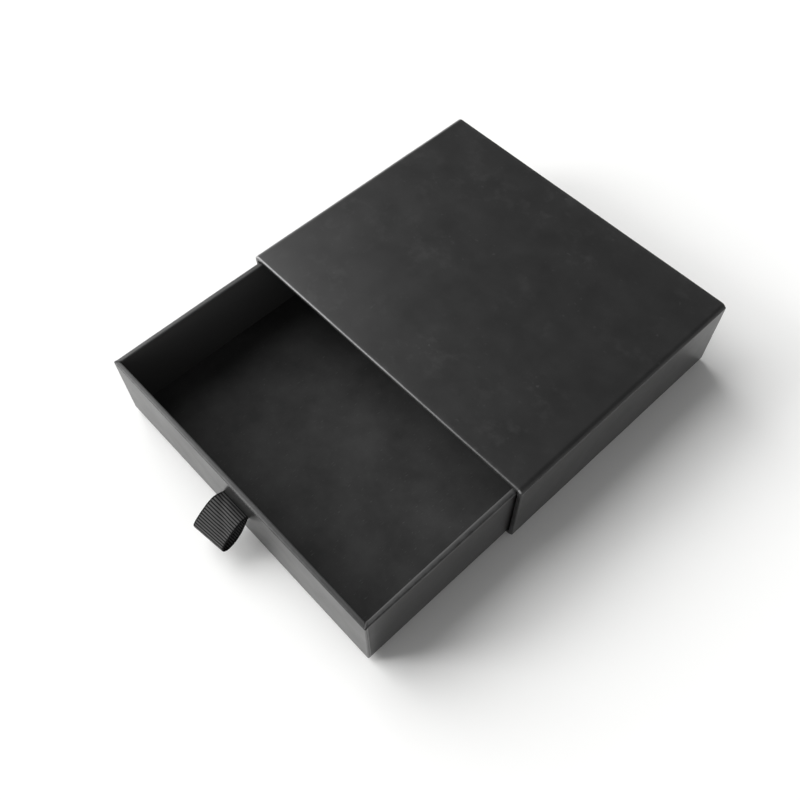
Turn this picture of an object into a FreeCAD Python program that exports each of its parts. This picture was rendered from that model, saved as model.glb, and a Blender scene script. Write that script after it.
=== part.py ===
import FreeCAD, Part

import math
import os

from FreeCAD import Vector

# Sliding drawer gift box: a paper-covered greyboard sleeve, closed at the back, and a drawer on a ribbon pull.
# Millimetres. The origin is the centre of the face that the sleeve rests on, +Z is up,
# and the drawer comes out along -Y. The model stands with the drawer pulled part of the way out.

os.makedirs("parts", exist_ok=True)

# Sleeve, outside
sleeve_width = 150.0
sleeve_depth = 120.0
sleeve_height = 38.0
sleeve_edge_radius = 2.5  # the long edges are soft, because the paper rolls over sanded board

# Sheet goods
board = 1.5  # greyboard
wrap = 0.25  # black covering paper, with its glue
lining = 0.25  # black lining paper, with its glue
tape = 0.1  # stay tape over the board corners
ribbon_thickness = 0.45

# Sleeve papers
mouth_turn_in = 18.0
back_flap_share = 0.3  # of the height, folded over the back board from each side
back_sheet_inset = 1.5
lap_from_edge = 12.0  # where the free edge of the paper ends on the underside
lap_line_width = 0.3
lap_line_depth = 0.1

# Drawer papers
side_flap_setback = 1.2  # the side flaps are trimmed short of the upright corners
side_flap_step = 0.1
fold_share = 2.0  # of the paper's thickness: the radius that it folds to over a board edge
crease_share = 0.8  # of the paper's thickness: the bevel where a hidden fold is pressed flat

# Play between the drawer and the sleeve
side_play = 0.5
top_play = 0.8
back_play = 0.5

# Stay tapes
stay_leg = 9.0

# Where the drawer stands
pulled_out = 72.0

# Ribbon pull
ribbon_width = 15.0
slit_height_share = 0.5  # of the drawer's height
slit_play = 0.2
tail_reach_share = 0.33  # of the drawer's height, glued up and down from the slit
patch_margin = 2.5
root_gap = 0.3  # from the drawer's front to the root of the loop
root_radius_share = 1.1  # of the ribbon's thickness, so that the root holds both strands
loop_length = 16.3  # from the root to the tip, along the ribbon's middle
loop_tip_radius = 2.2
loop_spread_degrees = 38.0  # of each strand from the loop's own line, at the root
loop_droop_degrees = 29.0  # of the loop's own line, below level

# One overrun serves all cuts
overrun = 1.0
same_place = 0.001

# Worked out: the sleeve's shell
half_width = sleeve_width / 2
mouth_y = -sleeve_depth / 2
back_y = sleeve_depth / 2
inner_skin = max(wrap, lining)
wall = wrap + board + inner_skin
flap_y = back_y - lining
board_mouth_y = mouth_y + wrap
board_back_y = flap_y - wrap
back_board_y = board_back_y - board
back_lining_y = back_board_y - lining
inner_half_width = half_width - wall
floor_z = wall
ceiling_z = sleeve_height - wall
paper_fold = wrap * fold_share
crease = wrap * crease_share
back_flap = sleeve_height * back_flap_share

# Worked out: the drawer stands on the sleeve's floor
drawer_half_width = inner_half_width - side_play
drawer_height = ceiling_z - floor_z - top_play
drawer_depth = back_lining_y - mouth_y - back_play
drawer_front_y = mouth_y - pulled_out
drawer_back_y = drawer_front_y + drawer_depth
drawer_bottom_z = floor_z
rim_z = drawer_bottom_z + drawer_height
base_top_z = drawer_bottom_z + wrap + board
front_board_inner_y = drawer_front_y + wrap + board

# Worked out: the ribbon
slit_z = drawer_bottom_z + drawer_height * slit_height_share
root_radius = ribbon_thickness * root_radius_share
pivot_y = drawer_front_y - root_gap - root_radius
tail_reach = drawer_height * tail_reach_share
patch_reach = tail_reach + patch_margin
patch_half_width = ribbon_width / 2 + patch_margin
patch_y = front_board_inner_y - tape
tail_y = patch_y - ribbon_thickness


def block(low_x, high_x, low_y, high_y, low_z, high_z):
    """A plain block between two corners."""
    corner = Vector(low_x, low_y, low_z)
    return Part.makeBox(high_x - low_x, high_y - low_y, high_z - low_z, corner)


def centred_block(half_x, low_y, high_y, low_z, high_z):
    """A block that reaches as far left of the middle as right of it."""
    return block(-half_x, half_x, low_y, high_y, low_z, high_z)


def joined(first, second):
    """One solid from two that touch or overlap."""
    return first.fuse(second).removeSplitter()


def edges_along(shape, axis, length):
    """The straight edges of that length that run along X, Y or Z."""
    return [edge for edge in shape.Edges if abs(getattr(edge.BoundBox, axis + "Length") - length) < same_place]


def edges_in_plane(shape, axis, place):
    """The edges that lie wholly in the plane where that coordinate has that value."""
    found = []
    for edge in shape.Edges:
        low = getattr(edge.BoundBox, axis + "Min")
        high = getattr(edge.BoundBox, axis + "Max")
        if abs(low - place) < same_place and abs(high - place) < same_place:
            found.append(edge)
    return found


def edges_round(room, shape, axis, place):
    """The edges in that plane that lie round an open room."""
    reach = room.BoundBox
    reach.enlarge(same_place)
    return [edge for edge in edges_in_plane(shape, axis, place) if reach.isInside(edge.CenterOfMass)]


def folded_tape(corner, first_leg, second_leg, run):
    """A strip of tape folded round an edge. Its legs lie on the two faces that meet there."""
    first_step = Vector(first_leg).normalize() * tape
    second_step = Vector(second_leg).normalize() * tape
    points = [
        corner,
        corner + second_leg,
        corner + second_leg - first_step,
        corner - first_step,
        corner - second_step,
        corner + first_leg - second_step,
        corner + first_leg,
        corner,
    ]
    return Part.Face(Part.makePolygon(points)).extrude(run)


def sleeve_prism(inset, low_y, high_y):
    """The sleeve's outside with its four long edges rounded, drawn in by an inset on every side."""
    prism = centred_block(half_width - inset, low_y, high_y, inset, sleeve_height - inset)
    return prism.makeFillet(sleeve_edge_radius - inset, edges_along(prism, "Y", high_y - low_y))


def mitred_panel(outer_half, outer, inner_half, inner, sideways):
    """A board whose long edges are cut at 45 degrees, so that four of them close into the sleeve's tube.
    outer and inner are the levels of its two faces; a sideways panel stands upright instead of lying flat."""
    corners = [(-outer_half, outer), (outer_half, outer), (inner_half, inner), (-inner_half, inner)]
    middle_z = sleeve_height / 2
    points = []
    for across, level in corners:
        if sideways:
            points.append(Vector(level, board_mouth_y, middle_z + across))
        else:
            points.append(Vector(across, board_mouth_y, level))
    points.append(points[0])
    face = Part.Face(Part.makePolygon(points))
    panel = face.extrude(Vector(0, board_back_y - board_mouth_y, 0))
    return panel.common(sleeve_prism(wrap, board_mouth_y, board_back_y))


def sleeve_boards():
    """The four mitred panels of the tube and the panel that closes the back."""
    outer_x = half_width - wrap
    inner_x = outer_x - board
    outer_z = sleeve_height / 2 - wrap
    inner_z = outer_z - board
    top = sleeve_height - wrap
    bottom = wrap
    return {
        "sleeve_top_board": mitred_panel(outer_x, top, inner_x, top - board, False),
        "sleeve_bottom_board": mitred_panel(outer_x, bottom, inner_x, bottom + board, False),
        "sleeve_left_board": mitred_panel(outer_z, -outer_x, inner_z, -inner_x, True),
        "sleeve_right_board": mitred_panel(outer_z, outer_x, inner_z, inner_x, True),
        "sleeve_back_board": centred_block(inner_x, back_board_y, board_back_y, wrap + board, top - board),
    }


def sleeve_stays():
    """A folded tape over each edge of the back, one leg on the tube and one on the back board."""
    top = sleeve_height - wrap
    side = half_width - wrap
    long_half = half_width - sleeve_edge_radius
    low_z = wrap + stay_leg
    on_tube = Vector(0, -stay_leg, 0)
    width = Vector(long_half + long_half, 0, 0)
    height = Vector(0, 0, top - stay_leg - low_z)
    return [
        folded_tape(Vector(-long_half, board_back_y, top), on_tube, Vector(0, 0, -stay_leg), width),
        folded_tape(Vector(-long_half, board_back_y, wrap), on_tube, Vector(0, 0, stay_leg), width),
        folded_tape(Vector(-side, board_back_y, low_z), on_tube, Vector(stay_leg, 0, 0), height),
        folded_tape(Vector(side, board_back_y, low_z), on_tube, Vector(-stay_leg, 0, 0), height),
    ]


def sleeve_wrap(stays):
    """The covering paper: a tube round the boards, turned in at the mouth, with flaps folded over the back."""
    board_x = half_width - wrap - board
    board_low = wrap + board
    board_high = sleeve_height - board_low
    turn_in_end = mouth_y + mouth_turn_in
    outside = sleeve_prism(0, mouth_y, flap_y)
    outside = outside.makeChamfer(crease, edges_in_plane(outside, "Y", flap_y))
    outside = outside.makeFillet(paper_fold, edges_in_plane(outside, "Y", mouth_y))
    paper = outside.cut(sleeve_prism(wrap, board_mouth_y, board_back_y))
    turned_in = centred_block(board_x, board_mouth_y, turn_in_end, board_low, board_high)
    passage = centred_block(board_x - wrap, mouth_y - overrun, turn_in_end + overrun,
                            board_low + wrap, board_high - wrap)
    paper = joined(paper, turned_in).cut(passage)
    paper = paper.makeFillet(paper_fold, edges_round(passage, paper, "Y", mouth_y))
    window = centred_block(half_width - back_flap, board_back_y - overrun, back_y,
                           back_flap, sleeve_height - back_flap)
    lap_x = half_width - lap_from_edge
    lap_line = block(lap_x - lap_line_width, lap_x, mouth_y - overrun, back_y, -overrun, lap_line_depth)
    return paper.cut([window, lap_line] + stays)


def sleeve_back_sheet():
    """The paper that covers the folded flaps, a little smaller than the back."""
    low = back_sheet_inset
    high = sleeve_height - back_sheet_inset
    return centred_block(half_width - back_sheet_inset, flap_y, back_y, low, high)


def sleeve_lining():
    """A tube of paper inside the boards, from the turned-in edge to the back."""
    start_y = mouth_y + mouth_turn_in
    board_x = half_width - wrap - board
    low = wrap + board
    high = sleeve_height - low
    outside = centred_block(board_x, start_y, back_board_y, low, high)
    return outside.cut(centred_block(board_x - lining, start_y, back_board_y, low + lining, high - lining))


def sleeve_back_lining():
    """The paper on the inside of the back board, within the lining tube."""
    half_x = half_width - wrap - board - lining
    low = wrap + board + lining
    return centred_block(half_x, back_lining_y, back_board_y, low, sleeve_height - low)


def drawer_box(inset):
    """The drawer's outside, drawn in by an inset on every side."""
    half_x = drawer_half_width - inset
    low_z = drawer_bottom_z + inset
    return centred_block(half_x, drawer_front_y + inset, drawer_back_y - inset, low_z, rim_z - inset)


def drawer_room(skin, low_z):
    """The room inside the drawer's walls, where the walls carry a skin of that thickness."""
    inset = wrap + board + skin
    half_x = drawer_half_width - inset
    return centred_block(half_x, drawer_front_y + inset, drawer_back_y - inset, low_z, rim_z + overrun)


def ribbon_slit(low_y, high_y):
    """The cut that the ribbon's two strands pass through, with a little play round them."""
    half_x = ribbon_width / 2 + slit_play
    half_z = ribbon_thickness + slit_play
    return centred_block(half_x, low_y, high_y, slit_z - half_z, slit_z + half_z)


def tail_pocket():
    """The hollow that the glued tails and their tape press into the front board."""
    half_x = ribbon_width / 2 + slit_play
    reach = tail_reach + slit_play
    tails = centred_block(half_x, tail_y, patch_y, slit_z - reach, slit_z + reach)
    cover = centred_block(patch_half_width, patch_y, front_board_inner_y,
                          slit_z - patch_reach, slit_z + patch_reach)
    return [tails, cover]


def drawer_boards():
    """The base inside four walls. The front and back boards run the full width, the sides stand between them."""
    outer_x = drawer_half_width - wrap
    inner_x = outer_x - board
    low_z = drawer_bottom_z + wrap
    high_z = rim_z - wrap
    front_y = drawer_front_y + wrap
    back_y_outer = drawer_back_y - wrap
    back_y_inner = back_y_outer - board
    front = centred_block(outer_x, front_y, front_board_inner_y, low_z, high_z)
    slit = ribbon_slit(front_y - overrun, front_board_inner_y)
    return {
        "drawer_base_board": centred_block(inner_x, front_board_inner_y, back_y_inner, low_z, base_top_z),
        "drawer_front_board": front.cut([slit] + tail_pocket()),
        "drawer_back_board": centred_block(outer_x, back_y_inner, back_y_outer, low_z, high_z),
        "drawer_left_board": block(-outer_x, -inner_x, front_board_inner_y, back_y_inner, low_z, high_z),
        "drawer_right_board": block(inner_x, outer_x, front_board_inner_y, back_y_inner, low_z, high_z),
    }


def drawer_stays():
    """A folded tape round each upright corner, as tall as the boards."""
    low_z = drawer_bottom_z + wrap
    height = Vector(0, 0, rim_z - wrap - low_z)
    tapes = []
    for side, across in ((drawer_half_width - wrap, -stay_leg), (wrap - drawer_half_width, stay_leg)):
        for end, inward in ((drawer_front_y + wrap, stay_leg), (drawer_back_y - wrap, -stay_leg)):
            corner = Vector(side, end, low_z)
            tapes.append(folded_tape(corner, Vector(0, inward, 0), Vector(across, 0, 0), height))
    return tapes


def side_flap_steps():
    """What the trimmed side flaps leave bare beside the four upright corners."""
    side = drawer_half_width
    ends = (
        (drawer_front_y - overrun, drawer_front_y + side_flap_setback),
        (drawer_back_y - side_flap_setback, drawer_back_y + overrun),
    )
    steps = []
    for low_y, high_y in ends:
        low_z = drawer_bottom_z - overrun
        high_z = rim_z + overrun
        steps.append(block(side - side_flap_step, side + overrun, low_y, high_y, low_z, high_z))
        steps.append(block(-side - overrun, side_flap_step - side, low_y, high_y, low_z, high_z))
    return steps


def drawer_outside():
    """The covered drawer as a block: round upright corners and rim, and creases pressed flat underneath."""
    plain = drawer_box(0)
    uprights = plain.makeFillet(paper_fold, edges_along(plain, "Z", drawer_height))
    uprights = uprights.makeChamfer(crease, edges_in_plane(uprights, "Z", drawer_bottom_z))
    return uprights.common(plain.makeFillet(paper_fold, edges_in_plane(plain, "Z", rim_z)))


def drawer_wrap(stays):
    """One sheet of paper under the base, up the walls, over the rim and down inside to the base board."""
    boards = drawer_box(wrap).cut(drawer_room(0, base_top_z))
    room = drawer_room(wrap, drawer_bottom_z + wrap)
    paper = drawer_outside().cut([room] + side_flap_steps())
    paper = paper.makeFillet(paper_fold, edges_round(room, paper, "Z", rim_z))
    slit = ribbon_slit(drawer_front_y - overrun, drawer_front_y + wrap + overrun)
    return paper.cut([boards, slit] + stays)


def drawer_floor_lining():
    """The paper on the base board, between the turned-in walls."""
    inset = wrap + board + wrap
    half_x = drawer_half_width - inset
    return centred_block(half_x, drawer_front_y + inset, drawer_back_y - inset, base_top_z, base_top_z + lining)


def ribbon_tails():
    """Both ends of the ribbon: side by side in the slit, then one up and one down behind the front board."""
    half_x = ribbon_width / 2
    strands = centred_block(half_x, drawer_front_y, patch_y, slit_z - ribbon_thickness, slit_z + ribbon_thickness)
    tails = centred_block(half_x, tail_y, patch_y, slit_z - tail_reach, slit_z + tail_reach)
    return joined(strands, tails)


def ribbon_patch():
    """The paper tape that holds the tails until the covering paper is glued over them."""
    return centred_block(patch_half_width, patch_y, front_board_inner_y,
                         slit_z - patch_reach, slit_z + patch_reach)


def loop_point(along, off):
    """A point of the loop's side view: along its own drooping line from the root, and off it upwards."""
    droop = math.radians(loop_droop_degrees)
    out = along * math.cos(droop) + off * math.sin(droop)
    rise = off * math.cos(droop) - along * math.sin(droop)
    return Vector(-ribbon_width / 2, pivot_y - out, slit_z + rise)


def loop_outline(offset, closed_at_root):
    """The loop's side view, offset from the ribbon's middle: a strand's arc, the round tip and the other strand.
    The strand's radius is the one that meets the tip tangentially."""
    spread = math.radians(loop_spread_degrees)
    tip = loop_length - loop_tip_radius
    strand = (tip ** 2 - loop_tip_radius ** 2) / (2 * (tip * math.sin(spread) - loop_tip_radius))
    centre_along = strand * math.sin(spread)
    centre_off = -strand * math.cos(spread)
    radius = strand + offset
    if closed_at_root:
        start = math.atan2(-centre_off, -math.sqrt(radius ** 2 - centre_off ** 2))
    else:
        start = math.pi / 2 + spread
    end = math.atan2(-centre_off, tip - centre_along)
    middle = (start + end) / 2
    upper = [(centre_along + radius * math.cos(a), centre_off + radius * math.sin(a)) for a in (start, middle, end)]
    lower = [(along, -off) for along, off in reversed(upper)]
    nose = (tip + loop_tip_radius + offset, 0)
    edges = [
        Part.Arc(*[loop_point(*p) for p in upper]).toShape(),
        Part.Arc(loop_point(*upper[2]), loop_point(*nose), loop_point(*lower[0])).toShape(),
        Part.Arc(*[loop_point(*p) for p in lower]).toShape(),
    ]
    if not closed_at_root:
        edges.append(Part.LineSegment(loop_point(*lower[2]), loop_point(*upper[0])).toShape())
    return Part.Face(Part.Wire(edges)).extrude(Vector(ribbon_width, 0, 0))


def ribbon_loop():
    """The teardrop of ribbon in front of the drawer. Its root is round, so that it can swing at the slit."""
    outside = loop_outline(ribbon_thickness / 2, False)
    inside = loop_outline(-ribbon_thickness / 2, True)
    root = Part.makeCylinder(root_radius, ribbon_width, Vector(-ribbon_width / 2, pivot_y, slit_z), Vector(1, 0, 0))
    return joined(outside.cut(inside), root)


def build():
    """Every node by name."""
    sleeve_tapes = sleeve_stays()
    drawer_tapes = drawer_stays()
    nodes = sleeve_boards()
    nodes["sleeve_stays"] = Part.makeCompound(sleeve_tapes)
    nodes["sleeve_wrap"] = sleeve_wrap(sleeve_tapes)
    nodes["sleeve_back_sheet"] = sleeve_back_sheet()
    nodes["sleeve_lining"] = sleeve_lining()
    nodes["sleeve_back_lining"] = sleeve_back_lining()
    nodes.update(drawer_boards())
    nodes["drawer_stays"] = Part.makeCompound(drawer_tapes)
    nodes["drawer_wrap"] = drawer_wrap(drawer_tapes)
    nodes["drawer_floor_lining"] = drawer_floor_lining()
    nodes["ribbon_tails"] = ribbon_tails()
    nodes["ribbon_patch"] = ribbon_patch()
    nodes["ribbon_loop"] = ribbon_loop()
    return nodes


for name, shape in build().items():
    print(name, len(shape.Solids), "solid(s)", round(shape.Volume, 2), "mm3", "valid" if shape.isValid() else "BAD")
    shape.exportStep("parts/" + name + ".step")
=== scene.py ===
import math

import bpy
import numpy as np
from mathutils import Matrix, Vector


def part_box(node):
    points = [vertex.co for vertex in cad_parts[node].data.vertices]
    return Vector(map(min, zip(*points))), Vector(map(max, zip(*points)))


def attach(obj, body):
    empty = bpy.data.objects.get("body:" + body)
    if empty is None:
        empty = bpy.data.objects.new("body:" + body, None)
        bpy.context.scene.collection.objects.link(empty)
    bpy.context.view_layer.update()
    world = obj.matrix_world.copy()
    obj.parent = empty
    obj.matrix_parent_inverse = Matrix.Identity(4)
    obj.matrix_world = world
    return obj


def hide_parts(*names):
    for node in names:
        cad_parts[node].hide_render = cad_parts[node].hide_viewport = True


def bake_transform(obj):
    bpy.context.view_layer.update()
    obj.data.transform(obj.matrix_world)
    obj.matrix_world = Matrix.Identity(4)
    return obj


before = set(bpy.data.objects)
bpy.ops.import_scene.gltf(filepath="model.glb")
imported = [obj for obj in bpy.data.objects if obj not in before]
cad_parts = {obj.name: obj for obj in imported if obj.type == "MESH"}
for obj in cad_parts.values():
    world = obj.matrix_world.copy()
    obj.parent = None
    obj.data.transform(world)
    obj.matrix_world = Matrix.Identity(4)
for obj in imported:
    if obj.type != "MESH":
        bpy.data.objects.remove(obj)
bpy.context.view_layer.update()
mm = 0.001
print("frame loaded:", len(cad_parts), "nodes")


# Colour and nodes.
# sRGB hex to linear: c / 12.92 up to 0.04045, else ((c + 0.055) / 1.055) ^ 2.4
def hexColour(code):
    channels = [int(code[i:i + 2], 16) / 255 for i in (1, 3, 5)]
    linear = [c / 12.92 if c <= 0.04045 else ((c + 0.055) / 1.055) ** 2.4 for c in channels]
    return (*linear, 1.0)


# Adds a node. inputs maps a socket's name or number to a value, or to the socket that feeds it.
def addNode(tree, kind, inputs=None, **settings):
    node = tree.nodes.new(kind)
    for name, value in settings.items():
        setattr(node, name, value)
    for name, value in (inputs or {}).items():
        if isinstance(value, bpy.types.NodeSocket):
            tree.links.new(value, node.inputs[name])
        else:
            node.inputs[name].default_value = value
    return node


# A new material with only its Principled shader. Returns the material, its tree, the shader
# and the object's own coordinates.
def startMaterial(name):
    material = bpy.data.materials.new(name)
    material.use_nodes = True
    tree = material.node_tree
    shader = tree.nodes["Principled BSDF"]
    place = addNode(tree, "ShaderNodeTexCoord").outputs["Object"]
    return material, tree, shader, place


# Noise whose blobs are about size millimetres across
def noiseOf(tree, place, size, detail=2.0, roughness=0.5):
    inputs = {"Vector": place, "Scale": 1000 / size, "Detail": detail, "Roughness": roughness}
    return addNode(tree, "ShaderNodeTexNoise", inputs).outputs["Fac"]


# A value between low and high as the noise goes from one end to the other
def between(tree, value, fromLow, fromHigh, toLow, toHigh):
    inputs = {"Value": value, "From Min": fromLow, "From Max": fromHigh, "To Min": toLow, "To Max": toHigh}
    return addNode(tree, "ShaderNodeMapRange", inputs).outputs["Result"]


# One colour over another by a factor
def mixColours(tree, factor, under, over):
    return addNode(tree, "ShaderNodeMix", {"Factor": factor, "A": under, "B": over}, data_type="RGBA")


# Surfaces.
closePlaces = (0.15, 0.5, 1.5)  # mm from an end or a mark, where a grid has extra lines
farFromFold = 1e3  # mm, for the places that no fold is near
smallGap = 0.01  # mm, to tell places apart
tinyGap = 1e-6  # the same for places that differ only by rounding


# Places along a straight run: close together by its ends and by each mark, and evenly spaced between.
def placesAlong(length, spacing, marks=()):
    close = np.array(closePlaces)
    stops = [0.0, *marks, length]
    found = [np.zeros(1)]
    for low, high in zip(stops, stops[1:]):
        gap = high - low
        near = close[close < gap / 2.5]
        inset = near[-1] if len(near) else 0.0
        count = max(2, math.ceil((gap - 2 * inset) / spacing) + 1)
        evenly = np.linspace(inset, gap - inset, count)
        places = np.unique(np.round(np.concatenate([near, evenly, gap - near, [gap]]), 6))
        found.append(low + places[places > 0])
    return np.concatenate(found)


# A line of straight runs at right angles with rounded corners: each corner is a quarter circle of its
# radius, from centre - outward * r to centre - inward * r. Returns the points and how far each one is
# from the nearest corner, measured along the line.
def foldedLine(corners, radii, spacing, marks, arcSteps):
    corners = np.array(corners, float)
    steps = corners[1:] - corners[:-1]
    lengths = np.linalg.norm(steps, axis=1)
    along = steps / lengths[:, None]
    trim = np.array([0.0, *radii, 0.0])
    angles = np.arange(1, arcSteps) / arcSteps * math.pi / 2
    points, clear = [], []
    for run in range(len(along)):
        straight = lengths[run] - trim[run] - trim[run + 1]
        places = placesAlong(straight, spacing, marks.get(run, ()))
        points.append(corners[run] + np.outer(trim[run] + places, along[run]))
        far = np.full(len(places), farFromFold)
        fromStart = places if run > 0 else far
        fromEnd = straight - places if run < len(along) - 1 else far
        clear.append(np.minimum(fromStart, fromEnd))
        if run < len(along) - 1:
            radius = trim[run + 1]
            centre = corners[run + 1] + (along[run + 1] - along[run]) * radius
            arc = centre - np.outer(np.cos(angles), along[run + 1]) * radius
            points.append(arc + np.outer(np.sin(angles), along[run]) * radius)
            clear.append(np.zeros(len(angles)))
    return np.concatenate(points), np.concatenate(clear)


# A quarter circle as evenly spaced angles and, for each, the reach from the centre in radii
def quarterCircle(steps):
    angles = np.arange(1, steps) / steps * math.pi / 2
    return angles, np.ones(len(angles))


bevelDegrees = (6, 12, 17, 20, 22.5, 25, 28, 33, 40, 47, 52, 55, 58, 63, 68, 72, 75, 77.5, 80, 83, 86.5)


# A softened bevel round the quarter circle: flats that touch it at the given angles, with the two sides.
# The reach at angle a is (sum over the flats f of cos(a - f) ^ crispness) ^ (-1 / crispness).
def softBevel(flats, crispness):
    degrees = np.array(bevelDegrees)
    facing = np.cos(np.radians(degrees[:, None] - np.array([0, *flats, 90])[None, :])).clip(0)
    return np.radians(degrees), (facing ** crispness).sum(axis=1) ** (-1 / crispness)


# The columns of a tube that goes round a rectangle, anticlockwise: each has its share of the way to the
# corners (-1 to 1 in both directions), its outward reach in corner radii and its distance from the nearest
# corner. The corner's profile runs from an even side to an odd one, and back again at the next corner.
def roundRectangle(half, radius, spacing, marks, profile):
    shares, normals, clear = [], [], []
    for side in range(4):
        angle = side * math.pi / 2
        outward = np.round([math.cos(angle), math.sin(angle)])
        tangent = np.round([-math.sin(angle), math.cos(angle)])
        straight = 2 * (half[1 - side % 2] - radius)
        places = placesAlong(straight, spacing, marks.get(side, ()))
        shares.append(outward + np.outer(places / straight * 2 - 1, tangent))
        normals.append(np.tile(outward, (len(places), 1)))
        clear.append(np.minimum(places, straight - places))
        angles, reach = profile if side % 2 == 0 else (math.pi / 2 - profile[0][::-1], profile[1][::-1])
        shares.append(np.tile(outward + tangent, (len(angles), 1)))
        normals.append(np.stack([np.cos(angle + angles), np.sin(angle + angles)], axis=1) * reach[:, None])
        clear.append(np.zeros(len(angles)))
    return np.concatenate(shares), np.concatenate(normals), np.concatenate(clear)


# A folded tube: at inset d the rectangle is drawn in by d, and its corner radius r shrinks with it, so a
# point is share * (half - d - r) + normal * r. Returns the two ring coordinates, one row for each inset.
def foldedTube(columns, half, radius, leastRadius, inset):
    shares, normals = columns
    corner = np.maximum(radius - inset, leastRadius)[:, None]
    reach = [half[i] - inset[:, None] - corner for i in (0, 1)]
    return [shares[:, i] * reach[i] + normals[:, i] * corner for i in (0, 1)]


# The unit normals of a grid: the cross product of its steps along the rows and down the columns
def gridNormals(points, closed):
    if closed:
        across = np.roll(points, -1, axis=1) - np.roll(points, 1, axis=1)
    else:
        across = np.gradient(points, axis=1)
    normals = np.cross(across, np.gradient(points, axis=0))
    return normals / np.maximum(np.linalg.norm(normals, axis=2, keepdims=True), 1e-12)


waveSpread = (0.7, 1.5)  # shares of the wavelength, for the shortest and the longest wave
waveGain = 1.4  # waves seldom peak together, so their mean is raised to reach about 1


# Unevenness from -1 to 1: sine waves of about the given length, in directions drawn from the seed
def unevenness(points, seed, wavelength, waves=7):
    random = np.random.default_rng(seed)
    directions = random.normal(size=(waves, 3))
    directions /= np.linalg.norm(directions, axis=1, keepdims=True)
    turns = 2 * math.pi / (wavelength * random.uniform(*waveSpread, waves))
    phases = random.uniform(0, 2 * math.pi, waves)
    heights = np.sin(points @ (directions * turns[:, None]).T + phases)
    return heights.sum(axis=-1) / waves * waveGain


# A mesh object from a grid in millimetres. The cells that keep leaves out are holes, caps names the end
# rows that a single face closes, and each value of marks becomes an attribute of the points.
def gridPiece(name, grid, closed, keep=None, caps=(), marks=None):
    rows, columns = grid.shape[:2]
    index = np.arange(rows * columns).reshape(rows, columns)
    nextColumn = np.roll(index, -1, axis=1)
    if not closed:
        index, nextColumn = index[:, :-1], nextColumn[:, :-1]
    cells = np.stack([index[:-1], nextColumn[:-1], nextColumn[1:], index[1:]], axis=-1)
    faces = (cells.reshape(-1, 4) if keep is None else cells[keep]).tolist()
    if "first" in caps:
        faces.append(list(range(columns))[::-1])
    if "last" in caps:
        faces.append(list(range((rows - 1) * columns, rows * columns)))
    mesh = bpy.data.meshes.new(name)
    mesh.from_pydata((grid.reshape(-1, 3) * mm).tolist(), [], faces)
    for attribute, values in (marks or {}).items():
        layer = mesh.attributes.new(attribute, "FLOAT", "POINT")
        layer.data.foreach_set("value", np.ascontiguousarray(values.reshape(-1), np.float32))
    piece = bpy.data.objects.new(name, mesh)
    bpy.context.scene.collection.objects.link(piece)
    return piece


# Gives a sheet its paper's thickness on the side away from its faces' fronts, and applies it
def thicken(piece, thickness, sharpDegrees=40):
    solidify = piece.modifiers.new("thickness", "SOLIDIFY")
    solidify.thickness = thickness * mm
    solidify.offset = -1
    solidify.use_even_offset = True
    evaluated = piece.evaluated_get(bpy.context.evaluated_depsgraph_get())
    mesh = bpy.data.meshes.new_from_object(evaluated)
    mesh.name = piece.name
    piece.modifiers.clear()
    piece.data = mesh
    mesh.shade_smooth()
    mesh.set_sharp_from_angle(angle=math.radians(sharpDegrees))


# Materials.
# Black covering paper, printed right through and lightly calendered. It gives a satin black whose sheen
# clouds softly every centimetre or so, with a fine tooth, faint pale specks and scuffs, and a greyer line
# where it is creased over a board edge and the ink has cracked.
coveringPaper = {
    "ink": "#1a1a1a", "inkWorn": "#252525", "crease": "#3a3a3a", "speck": "#494949", "scuff": "#3a3a3a",
    "roughness": (0.285, 0.335), "cloud": 13, "tooth": 0.4, "toothDepth": 0.0045,
    "wave": 10, "waveDepth": 0.008,
    "speckSize": 1.6, "speckFrom": (0.74, 0.86), "speckPatch": 9, "speckMost": 0.35,
    "scuffSize": 6, "scuffFrom": (0.52, 0.66), "scuffPatch": 30, "scuffShare": (0.05, 0.3),
    "wearSize": 3, "wearShare": (0.15, 0.9), "rubSize": 5, "rubShare": (0.55, 1.0),
    # the near-black seam colour is also a painted shadow at the flaps' steps
    # the paler ink for inside the drawer is painted fill light on its shaded walls
    # the rubbed-through grey is partly a painted highlight on the sleeve's mouth edge
    "paintedFillInk": "#444444", "mattRoughness": 0.72, "rubbedThroughAndHighlight": "#a0a0a0", "seamAndPaintedShadow": "#060606",
}


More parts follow.
